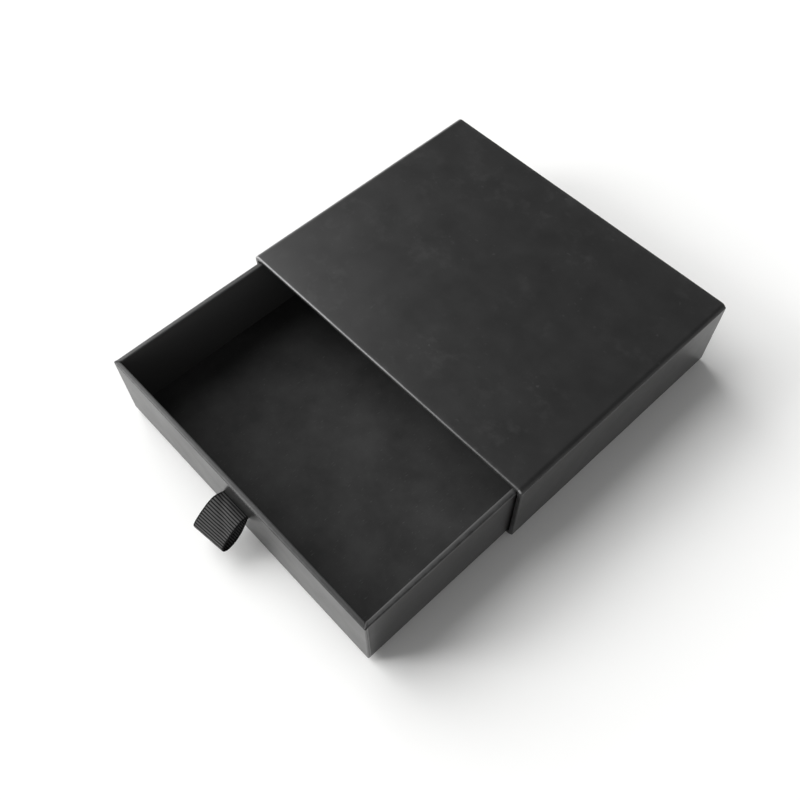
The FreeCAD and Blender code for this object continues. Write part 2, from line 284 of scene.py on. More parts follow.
def makeCoveringPaper():
    s = coveringPaper
    material, tree, shader, place = startMaterial("black covering paper")
    cloud = noiseOf(tree, place, s["cloud"], 3.0, 0.55)
    ink = mixColours(tree, cloud, hexColour(s["ink"]), hexColour(s["inkWorn"])).outputs["Result"]
    # specks: the tops of a fine noise, kept where a coarser noise is high too
    fine = between(tree, noiseOf(tree, place, s["speckSize"], 0.0), *s["speckFrom"], 0.0, 1.0)
    patchy = between(tree, noiseOf(tree, place, s["speckPatch"], 0.0), 0.5, 0.7, 0.0, s["speckMost"])
    specks = addNode(tree, "ShaderNodeMath", {0: fine, 1: patchy}, operation="MULTIPLY").outputs[0]
    ink = mixColours(tree, specks, ink, hexColour(s["speck"])).outputs["Result"]
    # scuffs: ragged pale patches of a few millimetres, which come in groups where the box is handled
    ragged = between(tree, noiseOf(tree, place, s["scuffSize"], 5.0, 0.62), *s["scuffFrom"], 0.0, 1.0)
    group = between(tree, noiseOf(tree, place, s["scuffPatch"], 1.0), 0.42, 0.62, *s["scuffShare"])
    scuffs = addNode(tree, "ShaderNodeMath", {0: ragged, 1: group}, operation="MULTIPLY").outputs[0]
    ink = mixColours(tree, scuffs, ink, hexColour(s["scuff"])).outputs["Result"]
    fold = addNode(tree, "ShaderNodeAttribute", attribute_name="fold").outputs["Fac"]
    rubbed = between(tree, noiseOf(tree, place, s["wearSize"], 4.0, 0.65), 0.35, 0.65, *s["wearShare"])
    worn = addNode(tree, "ShaderNodeMath", {0: fold, 1: rubbed}, operation="MULTIPLY").outputs[0]
    # inside the drawer nothing has polished the paper, so it is matt there; its ink is also painted paler
    # there, as painted fill light on the shaded inside walls
    mattWithPaintedFill = addNode(tree, "ShaderNodeAttribute", attribute_name="mattWithPaintedFill").outputs["Fac"]
    ink = mixColours(tree, mattWithPaintedFill, ink, hexColour(s["paintedFillInk"])).outputs["Result"]
    colour = mixColours(tree, worn, ink, hexColour(s["crease"])).outputs["Result"]
    # near black at the rim's mitre joints, and a painted shadow along the foot of each flap's step
    seamAndPaintedShadow = addNode(tree, "ShaderNodeAttribute", attribute_name="seamAndPaintedShadow").outputs["Fac"]
    colour = mixColours(tree, seamAndPaintedShadow, colour, hexColour(s["seamAndPaintedShadow"])).outputs["Result"]
    # rubbed right through along the edge that takes the most handling, in broken runs; on the sleeve's
    # mouth this pale line is partly a painted highlight
    rubAndHighlight = addNode(tree, "ShaderNodeAttribute", attribute_name="rubAndHighlight").outputs["Fac"]
    broken = between(tree, noiseOf(tree, place, s["rubSize"], 5.0, 0.7), 0.3, 0.6, *s["rubShare"])
    rubAndHighlight = addNode(tree, "ShaderNodeMath", {0: rubAndHighlight, 1: broken}, operation="MULTIPLY").outputs[0]
    colour = mixColours(tree, rubAndHighlight, colour, hexColour(s["rubbedThroughAndHighlight"])).outputs["Result"]
    tree.links.new(colour, shader.inputs["Base Color"])
    sheen = between(tree, cloud, 0.3, 0.7, *s["roughness"])
    sheen = addNode(tree, "ShaderNodeMix", {"Factor": mattWithPaintedFill, 2: sheen, 3: s["mattRoughness"]}).outputs[0]
    tree.links.new(sheen, shader.inputs["Roughness"])
    shader.inputs["IOR"].default_value = 1.5
    tooth = noiseOf(tree, place, s["tooth"], 3.0, 0.6)
    wave = noiseOf(tree, place, s["wave"], 1.0)
    bump = addNode(tree, "ShaderNodeBump", {"Height": wave, "Distance": s["waveDepth"] * mm})
    bump = addNode(tree, "ShaderNodeBump", {
        "Height": tooth, "Distance": s["toothDepth"] * mm, "Normal": bump.outputs["Normal"]})
    tree.links.new(bump.outputs["Normal"], shader.inputs["Normal"])
    return material


# Black lining paper, uncoated and dyed in the pulp. It is duller and a little greyer than the covering
# paper, with short fibres that catch the light.
liningPaper = {
    "dye": "#2d2d2d", "dyePale": "#3a3a3a", "fibre": "#595959", "roughness": (0.75, 0.85),
    "cloud": 20, "tooth": 0.5, "toothDepth": 0.012,
    "fibreLength": 2.6, "fibreWidth": 0.5, "fibreTurn": 0.6, "fibreFrom": (0.66, 0.74), "fibreMost": 0.35,
}


def makeLiningPaper():
    s = liningPaper
    material, tree, shader, place = startMaterial("black lining paper")
    cloud = between(tree, noiseOf(tree, place, s["cloud"], 4.0, 0.6), 0.35, 0.65, 0.0, 1.0)
    dye = mixColours(tree, cloud, hexColour(s["dye"]), hexColour(s["dyePale"])).outputs["Result"]
    # fibres: noise stretched to their length, its tops only
    stretched = addNode(tree, "ShaderNodeMapping", {
        "Vector": place, "Rotation": (0, 0, s["fibreTurn"]),
        "Scale": (1, s["fibreWidth"] / s["fibreLength"], 1)})
    fibres = noiseOf(tree, stretched.outputs["Vector"], s["fibreWidth"], 2.0)
    fibres = between(tree, fibres, *s["fibreFrom"], 0.0, s["fibreMost"])
    colour = mixColours(tree, fibres, dye, hexColour(s["fibre"])).outputs["Result"]
    tree.links.new(colour, shader.inputs["Base Color"])
    tree.links.new(between(tree, cloud, 0.0, 1.0, *s["roughness"]), shader.inputs["Roughness"])
    shader.inputs["IOR"].default_value = 1.5
    shader.inputs["Specular IOR Level"].default_value = 0.15
    tooth = noiseOf(tree, place, s["tooth"], 3.0, 0.6)
    bump = addNode(tree, "ShaderNodeBump", {"Height": tooth, "Distance": s["toothDepth"] * mm})
    tree.links.new(bump.outputs["Normal"], shader.inputs["Normal"])
    return material


# Greyboard, pressed from waste paper: flat grey-brown with darker and paler flecks of pulp, quite matt
greyboard = {
    "pulp": "#8f8b84", "fleck": "#6f6a62", "pale": "#a9a69e", "roughness": 0.9,
    "fleckSize": 1.6, "paleSize": 5, "tooth": 0.6, "toothDepth": 0.03,
}


def makeGreyboard():
    s = greyboard
    material, tree, shader, place = startMaterial("greyboard")
    flecks = between(tree, noiseOf(tree, place, s["fleckSize"], 4.0, 0.7), 0.52, 0.66, 0.0, 1.0)
    colour = mixColours(tree, flecks, hexColour(s["pulp"]), hexColour(s["fleck"])).outputs["Result"]
    pale = between(tree, noiseOf(tree, place, s["paleSize"], 3.0, 0.6), 0.55, 0.75, 0.0, 0.7)
    colour = mixColours(tree, pale, colour, hexColour(s["pale"])).outputs["Result"]
    tree.links.new(colour, shader.inputs["Base Color"])
    shader.inputs["Roughness"].default_value = s["roughness"]
    tooth = noiseOf(tree, place, s["tooth"], 3.0, 0.6)
    bump = addNode(tree, "ShaderNodeBump", {"Height": tooth, "Distance": s["toothDepth"] * mm})
    tree.links.new(bump.outputs["Normal"], shader.inputs["Normal"])
    return material


# Brown kraft tape, gummed: warm brown with long pale fibres and a slight polish from its rollers
kraftTape = {
    "kraft": "#b0905f", "fibre": "#c9ae80", "roughness": 0.62,
    "fibreWidth": 0.4, "fibreStretch": 0.15, "fibreDepth": 0.015,
}


def makeKraftTape():
    s = kraftTape
    material, tree, shader, place = startMaterial("kraft tape")
    stretched = addNode(tree, "ShaderNodeMapping", {"Vector": place, "Scale": (1, 1, s["fibreStretch"])})
    fibres = noiseOf(tree, stretched.outputs["Vector"], s["fibreWidth"], 3.0)
    fibres = between(tree, fibres, 0.4, 0.7, 0.0, 1.0)
    colour = mixColours(tree, fibres, hexColour(s["kraft"]), hexColour(s["fibre"])).outputs["Result"]
    tree.links.new(colour, shader.inputs["Base Color"])
    shader.inputs["Roughness"].default_value = s["roughness"]
    bump = addNode(tree, "ShaderNodeBump", {"Height": fibres, "Distance": s["fibreDepth"] * mm})
    tree.links.new(bump.outputs["Normal"], shader.inputs["Normal"])
    return material


# Black polyester grosgrain. Its weft ribs are in the mesh. The warp threads that wrap them notch each rib
# finely.
# The crests are painted a paler grey than the black thread, a painted silky highlight, and are glossier;
# the grooves are painted near black, painted shade, and go dull.
grosgrain = {
    "thread": "#464646", "groove": "#040404", "crestFrom": (0.6, 0.97), "roughness": (0.95, 0.5),
    "threadSpacing": 0.3, "threadDepth": 0.03, "fuzzSize": 0.5, "fuzzDepth": 0.02,
}


def makeGrosgrain():
    s = grosgrain
    material, tree, shader, place = startMaterial("black grosgrain")
    rib = addNode(tree, "ShaderNodeAttribute", attribute_name="rib").outputs["Fac"]
    across = addNode(tree, "ShaderNodeAttribute", attribute_name="across").outputs["Fac"]
    # the crests' pale grey is a painted highlight, and the grooves' near black is painted shade
    crest = between(tree, rib, *s["crestFrom"], 0.0, 1.0)
    colour = mixColours(tree, crest, hexColour(s["groove"]), hexColour(s["thread"])).outputs["Result"]
    tree.links.new(colour, shader.inputs["Base Color"])
    tree.links.new(between(tree, crest, 0.0, 1.0, *s["roughness"]), shader.inputs["Roughness"])
    shader.inputs["IOR"].default_value = 1.5
    shader.inputs["Specular IOR Level"].default_value = 0.2
    shader.inputs["Sheen Weight"].default_value = 0.08
    shader.inputs["Sheen Roughness"].default_value = 0.4
    # threads: a sine of the distance across the ribbon in millimetres
    turn = 2 * math.pi / s["threadSpacing"]
    angle = addNode(tree, "ShaderNodeMath", {0: across, 1: turn}, operation="MULTIPLY")
    thread = addNode(tree, "ShaderNodeMath", {0: angle.outputs[0]}, operation="SINE").outputs[0]
    bump = addNode(tree, "ShaderNodeBump", {"Height": thread, "Distance": s["threadDepth"] * mm / 2})
    fuzz = noiseOf(tree, place, s["fuzzSize"], 3.0)
    bump = addNode(tree, "ShaderNodeBump", {
        "Height": fuzz, "Distance": s["fuzzDepth"] * mm, "Normal": bump.outputs["Normal"]})
    tree.links.new(bump.outputs["Normal"], shader.inputs["Normal"])
    return material


paperMaterial = makeCoveringPaper()
liningMaterial = makeLiningPaper()
boardMaterial = makeGreyboard()
tapeMaterial = makeKraftTape()
ribbonMaterial = makeGrosgrain()

# The hidden pieces keep their solids
for nodeName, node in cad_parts.items():
    if "lining" in nodeName:
        finish = liningMaterial
    elif "board" in nodeName:
        finish = boardMaterial
    elif "stays" in nodeName or "patch" in nodeName:
        finish = tapeMaterial
    elif "ribbon" in nodeName:
        finish = ribbonMaterial
    else:
        finish = paperMaterial
    node.data.materials.clear()
    node.data.materials.append(finish)
print("materials made")


# How much a point shows the wear of a fold: 1 on it, fading over wearWidth millimetres
def foldWear(clearRows, clearColumns, wearWidth=0.7):
    return np.exp(-np.minimum(clearRows[:, None], clearColumns[None, :]) / wearWidth)


# The sleeve's covering paper: a tube round the boards in X and Z, carried along Y. It starts on the back as
# flaps, goes over the back edge, along the outside, over the mouth's edge and 18 mm inside.
sleevePaper = {
    "thickness": 0.25, "wall": 2.0, "edgeRadius": 2.5, "leastRadius": 0.3,
    "backCrease": 0.35, "mouthFold": 0.45, "turnIn": 18, "backFlap": 11.4, "spacing": 4, "foldSteps": 6,
    "bow": 0.12, "uneven": 0.05, "unevenInside": 0.03, "unevenLength": 34,
    "bevelFlats": (45, 65), "bevelCrispness": 40, "lapX": 63, "lapDepth": 0.08, "lapFade": 6,
    # the rub settings shape the mouth edge's pale line, which is partly wear and partly a painted highlight
    "rubWidth": 0.08, "rubLeast": 0.12, "rubCorner": 0.8, "rubFade": 1.5, "seed": 11,
}


def makeSleevePaper():
    s = sleevePaper
    low, high = [np.array(corner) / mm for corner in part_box("sleeve_wrap")]
    half = ((high[0] - low[0]) / 2, (high[2] - low[2]) / 2)
    middle = (low[2] + high[2]) / 2
    corners = [(high[1], s["backFlap"]), (high[1], 0), (low[1], 0), (low[1], s["wall"]),
               (low[1] + s["turnIn"], s["wall"])]
    radii = [s["backCrease"], s["mouthFold"], s["mouthFold"]]
    line, clearRows = foldedLine(corners, radii, s["spacing"], {}, s["foldSteps"])
    # the lap's line runs along the underside, side 3, counted from x = -(half - radius)
    lapPlace = s["lapX"] + half[0] - s["edgeRadius"]
    profile = softBevel(s["bevelFlats"], s["bevelCrispness"])
    shares, normals, clearColumns = roundRectangle(
        half, s["edgeRadius"], s["spacing"], {3: (lapPlace,)}, profile)
    ringX, ringZ = foldedTube((shares, normals), half, s["edgeRadius"], s["leastRadius"], line[:, 1])
    grid = np.stack([ringX, np.broadcast_to(line[:, :1], ringX.shape), ringZ + middle], axis=-1)
    outward = gridNormals(grid, True)
    inside = line[:, 1] > s["wall"] - tinyGap
    along = (grid[..., 1] - low[1]) / (high[1] - low[1])
    # the boards bow out a little between their edges: half sines both ways
    shareX, shareZ = np.clip(shares[:, 0], -1, 1), np.clip(shares[:, 1], -1, 1)
    arch = np.cos(shareX * math.pi / 2) * (np.abs(shareZ) == 1)
    arch = arch + np.cos(shareZ * math.pi / 2) * (np.abs(shareX) == 1)
    push = s["bow"] * arch[None, :] * np.sin(np.clip(along, 0, 1) * math.pi)
    push = push + s["uneven"] * unevenness(grid, s["seed"], s["unevenLength"])
    push[inside] = s["unevenInside"] * unevenness(grid[inside], s["seed"] + 1, s["unevenLength"])
    underneath = (outward[..., 2] < -0.5) & ~inside[:, None]
    fromLap = s["lapX"] - grid[..., 0]
    lap = (fromLap > tinyGap) * np.exp(-fromLap.clip(0) / s["lapFade"])
    push = np.where(underneath, -s["lapDepth"] * lap, push)
    grid = grid + outward * push[..., None]
    # hands and the drawer rub the mouth's outer edge, and most at its left end; the pale line there is also
    # a painted highlight, brightest at that end, towards the lamps
    offEdge = (line - [low[1] + s["mouthFold"], s["mouthFold"]]).clip(0).sum(axis=1)
    rubRows = np.exp(-offEdge / s["rubWidth"])
    toLeft = ((half[0] - ringX[0]) / (2 * half[0])).clip(0, 1)
    rubColumns = s["rubLeast"] + (1 - s["rubLeast"]) * toLeft ** s["rubFade"]
    # none on the right wall or underneath, and more on the bevel at the right, a painted highlight at the
    # near corner
    rubColumns = np.where(normals[:, 0] > 0.8, 0.0, rubColumns) * (normals[:, 1] > -0.3)
    onBevel = (normals[:, 0] > 0.3) & (normals[:, 0] < 0.8) & (normals[:, 1] > 0)
    rubColumns = np.where(onBevel, s["rubCorner"], rubColumns)
    piece = gridPiece("sleevePaper", grid, True, marks={
        "fold": foldWear(clearRows, clearColumns + farFromFold),
        "rubAndHighlight": rubRows[:, None] * rubColumns[None, :]})
    thicken(piece, s["thickness"])
    piece.data.materials.append(paperMaterial)
    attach(piece, "sleeve")
    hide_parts("sleeve_wrap")


# The sheet on the sleeve's back lies on the folded flaps and sinks a little into the window between them
sleeveBackSheet = {
    "thickness": 0.25, "spacing": 4, "window": 9.9, "sink": 0.14, "sinkWidth": 1.2,
    "uneven": 0.03, "unevenLength": 24, "heldEdge": 3, "wearWidth": 0.4, "wearShare": 0.6, "seed": 21,
}


def makeSleeveBackSheet():
    s = sleeveBackSheet
    low, high = [np.array(corner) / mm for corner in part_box("sleeve_back_sheet")]
    width, height = high[0] - low[0], high[2] - low[2]
    x = high[0] - placesAlong(width, s["spacing"], (s["window"], width - s["window"]))
    z = low[2] + placesAlong(height, s["spacing"], (s["window"], height - s["window"]))
    gridZ, gridX = np.meshgrid(z, x, indexing="ij")
    fromSides = np.minimum(gridX - low[0], high[0] - gridX)
    fromEdge = np.minimum(fromSides, np.minimum(gridZ - low[2], high[2] - gridZ))
    # sinks as a smooth step across the window's edge: (1 + tanh) / 2
    sink = s["sink"] * (1 + np.tanh((fromEdge - s["window"]) / s["sinkWidth"])) / 2
    flat = np.stack([gridX, 0 * gridX, gridZ], axis=-1)
    # its edge is held flat by the glue
    lift = s["uneven"] * unevenness(flat, s["seed"], s["unevenLength"])
    lift = lift * np.clip(fromEdge / s["heldEdge"], 0, 1)
    grid = np.stack([gridX, high[1] - sink + lift, gridZ], axis=-1)
    wear = np.exp(-fromEdge / s["wearWidth"]) * s["wearShare"]
    piece = gridPiece("sleeveBackSheet", grid, False, marks={"fold": wear})
    thicken(piece, s["thickness"])
    piece.data.materials.append(paperMaterial)
    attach(piece, "sleeve")
    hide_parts("sleeve_back_sheet")


# The drawer's covering paper: a tube round the drawer in X and Y, carried along Z. It starts under the
# base, goes round the bottom edge, up the outside, over the rim and down inside to the base board.
drawerPaper = {
    "thickness": 0.25, "wall": 2.0, "edgeRadius": 0.5, "leastRadius": 0.2, "bottomCrease": 0.35,
    "rimFold": 0.5, "innerZ": 3.75, "footGap": 0.03, "underHeight": 1, "underCentre": 50,
    "spacing": 4, "foldSteps": 6,
    "bow": 0.12, "sideBow": 0.22, "uneven": 0.045, "unevenInside": 0.0315, "unevenLength": 30,
    "flapSetback": 1.2, "flapStep": 0.12, "flapEdge": 0.2, "flapRub": 0.5,
    "flapShadow": 0.075, "flapShadowHalf": 0.1, "outerInset": 0.02, "rubFrom": 0.02,
    "mitreWidth": 0.2, "mitreDepth": 0.3, "mitreFrom": 0.1,
    "slitZ": 18.6, "slitHalfWidth": 7.7, "slitHalfHeight": 0.65, "dimple": 0.12, "dimpleWidth": 2.2,
    "wearInside": 0.4, "wearAtSlit": 0.5, "seed": 31,
}


def makeDrawerPaper():
    s = drawerPaper
    low, high = [np.array(corner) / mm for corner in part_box("drawer_wrap")]
    half = ((high[0] - low[0]) / 2, (high[1] - low[1]) / 2)
    middle = (low[1] + high[1]) / 2
    foot = low[2] + s["footGap"]
    corners = [(foot, s["underCentre"]), (foot, 0), (high[2], 0), (high[2], s["wall"]),
               (s["innerZ"], s["wall"])]
    radii = [s["bottomCrease"], s["rimFold"], s["rimFold"]]
    slitRows = tuple(s["slitZ"] + i * s["slitHalfHeight"] - foot - s["bottomCrease"] for i in (-1, 1))
    line, clearRows = foldedLine(corners, radii, s["spacing"], {1: slitRows}, s["foldSteps"])
    # marks: the slit's ends on the front, side 3, and the flaps' ends on the two sides
    frontReach = half[0] - s["edgeRadius"]
    setback = s["flapSetback"] - s["edgeRadius"]
    sideLength = 2 * (half[1] - s["edgeRadius"])
    flapEnds = (setback, setback + s["flapEdge"])
    flapEnds += (sideLength - flapEnds[1], sideLength - flapEnds[0])
    slitEnds = (frontReach - s["slitHalfWidth"], frontReach + s["slitHalfWidth"])
    columnMarks = {0: flapEnds, 2: flapEnds, 3: slitEnds}
    shares, normals, clearColumns = roundRectangle(
        half, s["edgeRadius"], s["spacing"], columnMarks, quarterCircle(s["foldSteps"]))
    ringX, ringY = foldedTube((shares, normals), half, s["edgeRadius"], s["leastRadius"], line[:, 1])
    grid = np.stack([ringX, ringY + middle, np.broadcast_to(line[:, :1], ringX.shape)], axis=-1)
    outward = gridNormals(grid, True)
    above = line[:, 0] > foot + s["underHeight"]
    inside = (line[:, 1] > s["wall"] - tinyGap) & above
    up = np.clip((grid[..., 2] - foot) / (high[2] - foot), 0, 1)
    onSide = (np.abs(shares[:, 0]) == 1) & (np.abs(shares[:, 1]) < 1)
    onFront = (np.abs(shares[:, 1]) == 1) & (np.abs(shares[:, 0]) < 1)
    arch = s["sideBow"] * np.cos(shares[:, 1] * math.pi / 2) * onSide
    arch = arch + s["bow"] * np.cos(shares[:, 0] * math.pi / 2) * onFront
    # the base holds the walls' feet, so they bow out most at the rim
    push = arch[None, :] * np.sin(up * math.pi / 2)
    push = push + s["uneven"] * unevenness(grid, s["seed"], s["unevenLength"])
    # inside, the same bow goes the other way, as the paper follows its wall
    push[inside] = (-arch[None, :] * np.sin(up * math.pi / 2))[inside]
    push[inside] += s["unevenInside"] * unevenness(grid[inside], s["seed"] + 1, s["unevenLength"])
    fromCorner = clearColumns + s["edgeRadius"]
    # the front's paper comes round each corner as a narrow flap over the side's
    onFlap = fromCorner < s["flapSetback"] + smallGap
    flap = np.where(onSide, onFlap, normals[:, 0] ** 2 * (clearColumns == 0))
    push = push + s["flapStep"] * flap[None, :] * ~inside[:, None]
    # the slit's lips are pressed in by the pull: a dent that fades with the distance from the slit
    acrossSlit = (np.abs(grid[..., 0]) - s["slitHalfWidth"]).clip(0)
    upSlit = (np.abs(grid[..., 2] - s["slitZ"]) - s["slitHalfHeight"]).clip(0)
    onFrontFace = (shares[:, 1] == -1)[None, :] & ~inside[:, None]
    dent = np.exp(-np.hypot(acrossSlit, upSlit) / s["dimpleWidth"]) * onFrontFace
    push = push - s["dimple"] * dent
    # underneath, where it stands on the sleeve's floor, the paper is flat
    lifted = np.clip((grid[..., 2] - foot) / s["bottomCrease"] - 1, 0, 1)
    push = push * np.where(inside[:, None], 1, lifted)
    grid = grid + outward * push[..., None]
    centre = (grid[:-1, :] + grid[1:, :]) / 2
    centre = (centre + np.roll(centre, -1, axis=1)) / 2
    inSlit = np.abs(centre[..., 0]) < s["slitHalfWidth"]
    inSlit &= np.abs(centre[..., 2] - s["slitZ"]) < s["slitHalfHeight"]
    inSlit &= centre[..., 1] < low[1] + 1
    wear = np.maximum(foldWear(clearRows, clearColumns), s["wearAtSlit"] * dent ** 3)
    wear[inside] *= s["wearInside"]
    # the flap's cut edge shows the paper's greyer core
    cutEdge = onSide & (np.abs(fromCorner - s["flapSetback"]) < s["flapEdge"] - smallGap)
    outside = (line[:, 1] < s["outerInset"])[:, None]
    rubAndHighlight = s["flapRub"] * (cutEdge[None, :] & outside) * (up > s["rubFrom"])
    # the turned-in papers meet in a mitre at each corner of the rim
    onRim = (line[:, 0] > high[2] - s["mitreDepth"]) & (line[:, 1] > s["mitreFrom"])
    seamAndPaintedShadow = onRim[:, None] & (clearColumns < s["mitreWidth"])[None, :]
    # and a painted shadow, a dark line, runs along the foot of each flap's step
    shadowPlace = s["flapSetback"] + s["flapEdge"] + s["flapShadow"]
    underFlap = onSide & (np.abs(fromCorner - shadowPlace) < s["flapShadowHalf"])
    seamAndPaintedShadow = seamAndPaintedShadow | (underFlap[None, :] & outside)
    # inside, the paper is matt, and its ink is painted paler there as painted fill light
    mattWithPaintedFill = np.clip((line[:, 1] - s["wall"] / 2) / (s["wall"] / 2), 0, 1) * above
    piece = gridPiece("drawerPaper", grid, True, keep=~inSlit, caps=("first",), marks={
        "fold": wear, "rubAndHighlight": rubAndHighlight, "mattWithPaintedFill": np.broadcast_to(mattWithPaintedFill[:, None], wear.shape),
        "seamAndPaintedShadow": seamAndPaintedShadow.astype(float)})
    thicken(piece, s["thickness"])
    piece.data.materials.append(paperMaterial)
    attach(piece, "drawer")
    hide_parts("drawer_wrap")


# The paper on the drawer's floor: cut a hair small, so that its edges show, and not quite flat
drawerFloorLining = {
    "thickness": 0.25, "spacing": 3, "gap": 0.15, "curl": 0.03, "curlWidth": 1.5,
    "uneven": 0.06, "unevenLength": 26, "seed": 41,
}


def makeDrawerFloorLining():
    s = drawerFloorLining
    low, high = [np.array(corner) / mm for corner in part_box("drawer_floor_lining")]
    width, depth = [high[i] - low[i] - 2 * s["gap"] for i in (0, 1)]
    x = low[0] + s["gap"] + placesAlong(width, s["spacing"])
    y = low[1] + s["gap"] + placesAlong(depth, s["spacing"])
    gridY, gridX = np.meshgrid(y, x, indexing="ij")
    fromSides = np.minimum(gridX - x[0], x[-1] - gridX)
    fromEdge = np.minimum(fromSides, np.minimum(gridY - y[0], y[-1] - gridY))
    flat = np.stack([gridX, gridY, 0 * gridX], axis=-1)
    lift = s["uneven"] * (1 + unevenness(flat, s["seed"], s["unevenLength"])) / 2
    lift = lift + s["curl"] * np.exp(-fromEdge / s["curlWidth"])
    grid = np.stack([gridX, gridY, high[2] + lift], axis=-1)
    piece = gridPiece("drawerFloorLining", grid, False)
    thicken(piece, s["thickness"])
    piece.data.materials.append(liningMaterial)
    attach(piece, "drawer")
    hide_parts("drawer_floor_lining")


# A smooth line through given points, as points at equal steps of its length: Catmull-Rom, in which each
# span is the cubic that its four nearest points give
def smoothLine(points, step, stepsPerSpan=40):
    ends = np.concatenate([[2 * points[0] - points[1]], points, [2 * points[-1] - points[-2]]])
    a, b, c, d = ends[:-3, None], ends[1:-2, None], ends[2:-1, None], ends[3:, None]
    t = np.linspace(0, 1, stepsPerSpan, endpoint=False)[None, :, None]
    squared, cubed = 2 * a - 5 * b + 4 * c - d, 3 * b - a - 3 * c + d
    spans = 0.5 * (2 * b + (c - a) * t + squared * t ** 2 + cubed * t ** 3)
    dense = np.concatenate([spans.reshape(-1, points.shape[1]), points[-1:]])
    reached = np.concatenate([[0], np.cumsum(np.linalg.norm(np.diff(dense, axis=0), axis=1))])
    even = np.linspace(0, reached[-1], round(reached[-1] / step) + 1)
    line = np.stack([np.interp(even, reached, dense[:, i]) for i in range(points.shape[1])], axis=1)
    return line, even


# The ribbon is one strip: it is glued up behind the front board, comes out through the slit, makes the
# loop, goes back in and is glued down. The loop's points are (out from the front, up from the slit).
ribbonPull = {
    "width": 15, "thickness": 0.5, "ribPitch": 1.2, "ribDepth": 0.2, "step": 0.12,
    "selvedge": 0.7, "edgeRound": 0.2, "edgeReach": 0.17, "edgeSide": 0.45, "ribAtEdge": 0.35,
    "threadColumns": 25, "threadInset": 0.25, "scallop": 0.07,
    "foldFrom": (-6.4, 0.5), "foldTo": (4.5, 11.5), "foldDepth": 0.45, "foldWidth": 1.9, "foldFade": 2,
    "spread": 0.055, "spreadWithin": 5, "skew": 0.058,
    "tailBend": 0.35, "tailY": -130.575, "tailGap": 0.25, "slitZ": 18.6, "strandGap": 0.225,
    "bendFrom": (0.15, 2.3),
    "loop": [(1.6, 0.95), (4.2, 1.1), (7.6, -0.35), (10.9, -2.7), (13.4, -4.9), (15.1, -6.8), (15.5, -8.5),
             (14.5, -9.8), (12.4, -10.1), (9.0, -8.8), (5.1, -5.8), (2.0, -2.4), (0.7, -0.75)],
}


